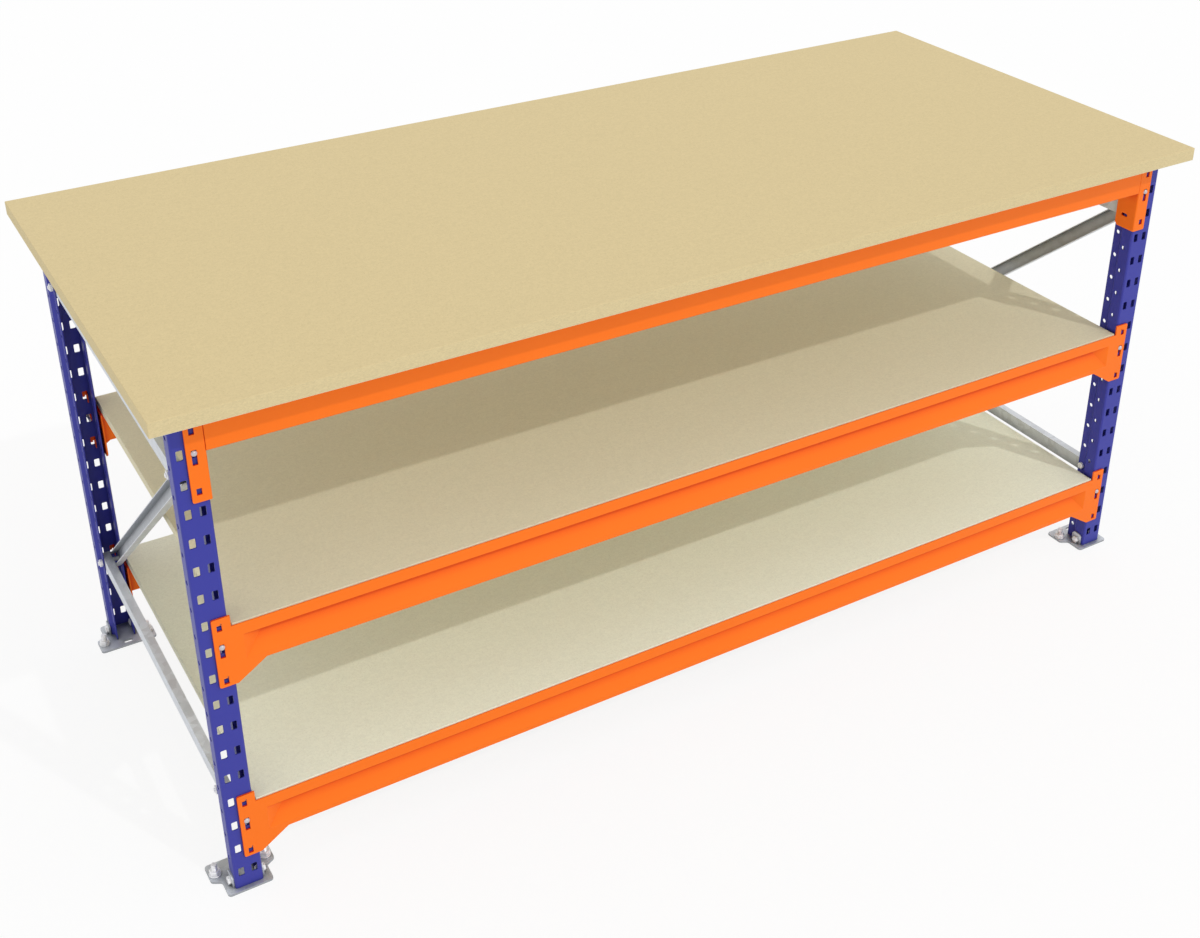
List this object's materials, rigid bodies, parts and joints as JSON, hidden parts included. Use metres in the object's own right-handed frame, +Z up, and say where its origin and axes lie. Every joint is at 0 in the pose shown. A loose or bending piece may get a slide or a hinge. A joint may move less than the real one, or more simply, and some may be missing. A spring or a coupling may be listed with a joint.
{
  "type": "workbench",
  "caption": "Workbench with a chipboard worktop over lay-in shelves, on perforated uprights with hook-on beams, channel braces and anchored footplates.",
  "frame": {"origin": "on the floor, under the middle of the worktop", "axes": "+X along the worktop's length to the right seen from the front, +Y from the front to the rear, +Z up"},
  "size_m": [2.026, 0.895, 0.929],
  "materials": {
    "worktop_board": "raw chipboard, light tan, matt",
    "shelf_board": "raw chipboard, pale, fine speckle, matt",
    "blue_paint": "powder coat, violet blue, semi gloss",
    "orange_paint": "powder coat, bright orange, semi gloss",
    "galvanised": "galvanised sheet, faint spangle",
    "zinc_plate": "bright zinc plate"
  },
  "bodies": {
    "bench": {"worktop": "worktop_board", "middle_shelf": "shelf_board", "lower_shelf": "shelf_board", "front_left_upright": "blue_paint", "front_right_upright": "blue_paint", "rear_left_upright": "blue_paint", "rear_right_upright": "blue_paint", "top_front_beam": "orange_paint", "top_rear_beam": "orange_paint", "top_front_left_connector": "orange_paint", "top_front_right_connector": "orange_paint", "top_rear_left_connector": "orange_paint", "top_rear_right_connector": "orange_paint", "middle_front_beam": "orange_paint", "middle_rear_beam": "orange_paint", "middle_front_left_connector": "orange_paint", "middle_front_right_connector": "orange_paint", "middle_rear_left_connector": "orange_paint", "middle_rear_right_connector": "orange_paint", "lower_front_beam": "orange_paint", "lower_rear_beam": "orange_paint", "lower_front_left_connector": "orange_paint", "lower_front_right_connector": "orange_paint", "lower_rear_left_connector": "orange_paint", "lower_rear_right_connector": "orange_paint", "left_upper_brace": "galvanised", "left_lower_brace": "galvanised", "left_diagonal_brace": "galvanised", "right_upper_brace": "galvanised", "right_lower_brace": "galvanised", "right_diagonal_brace": "galvanised", "front_left_footplate": "galvanised", "front_right_footplate": "galvanised", "rear_left_footplate": "galvanised", "rear_right_footplate": "galvanised", "brace_bolts": "zinc_plate", "brace_nuts": "zinc_plate", "ear_bolts": "zinc_plate", "ear_nuts": "zinc_plate", "anchor_studs": "zinc_plate", "anchor_nuts": "zinc_plate", "anchor_washers": "zinc_plate", "worktop_screws": "zinc_plate"},
    "top_front_left_lock_pin": {"top_front_left_lock_pin": "zinc_plate"},
    "top_front_right_lock_pin": {"top_front_right_lock_pin": "zinc_plate"},
    "top_rear_left_lock_pin": {"top_rear_left_lock_pin": "zinc_plate"},
    "top_rear_right_lock_pin": {"top_rear_right_lock_pin": "zinc_plate"},
    "middle_front_left_lock_pin": {"middle_front_left_lock_pin": "zinc_plate"},
    "middle_front_right_lock_pin": {"middle_front_right_lock_pin": "zinc_plate"},
    "middle_rear_left_lock_pin": {"middle_rear_left_lock_pin": "zinc_plate"},
    "middle_rear_right_lock_pin": {"middle_rear_right_lock_pin": "zinc_plate"},
    "lower_front_left_lock_pin": {"lower_front_left_lock_pin": "zinc_plate"},
    "lower_front_right_lock_pin": {"lower_front_right_lock_pin": "zinc_plate"},
    "lower_rear_left_lock_pin": {"lower_rear_left_lock_pin": "zinc_plate"},
    "lower_rear_right_lock_pin": {"lower_rear_right_lock_pin": "zinc_plate"}
  },
  "joints": [
    {"name": "top_front_left_lock_pin_slide", "type": "slide", "parent": "bench", "child": "top_front_left_lock_pin", "axis": [0, -1, 0], "range_m": [0, 0.02]},
    {"name": "top_front_right_lock_pin_slide", "type": "slide", "parent": "bench", "child": "top_front_right_lock_pin", "axis": [0, -1, 0], "range_m": [0, 0.02]},
    {"name": "top_rear_left_lock_pin_slide", "type": "slide", "parent": "bench", "child": "top_rear_left_lock_pin", "axis": [0, 1, 0], "range_m": [0, 0.02]},
    {"name": "top_rear_right_lock_pin_slide", "type": "slide", "parent": "bench", "child": "top_rear_right_lock_pin", "axis": [0, 1, 0], "range_m": [0, 0.02]},
    {"name": "middle_front_left_lock_pin_slide", "type": "slide", "parent": "bench", "child": "middle_front_left_lock_pin", "axis": [0, -1, 0], "range_m": [0, 0.02]},
    {"name": "middle_front_right_lock_pin_slide", "type": "slide", "parent": "bench", "child": "middle_front_right_lock_pin", "axis": [0, -1, 0], "range_m": [0, 0.02]},
    {"name": "middle_rear_left_lock_pin_slide", "type": "slide", "parent": "bench", "child": "middle_rear_left_lock_pin", "axis": [0, 1, 0], "range_m": [0, 0.02]},
    {"name": "middle_rear_right_lock_pin_slide", "type": "slide", "parent": "bench", "child": "middle_rear_right_lock_pin", "axis": [0, 1, 0], "range_m": [0, 0.02]},
    {"name": "lower_front_left_lock_pin_slide", "type": "slide", "parent": "bench", "child": "lower_front_left_lock_pin", "axis": [0, -1, 0], "range_m": [0, 0.02]},
    {"name": "lower_front_right_lock_pin_slide", "type": "slide", "parent": "bench", "child": "lower_front_right_lock_pin", "axis": [0, -1, 0], "range_m": [0, 0.02]},
    {"name": "lower_rear_left_lock_pin_slide", "type": "slide", "parent": "bench", "child": "lower_rear_left_lock_pin", "axis": [0, 1, 0], "range_m": [0, 0.02]},
    {"name": "lower_rear_right_lock_pin_slide", "type": "slide", "parent": "bench", "child": "lower_rear_right_lock_pin", "axis": [0, 1, 0], "range_m": [0, 0.02]}
  ]
}
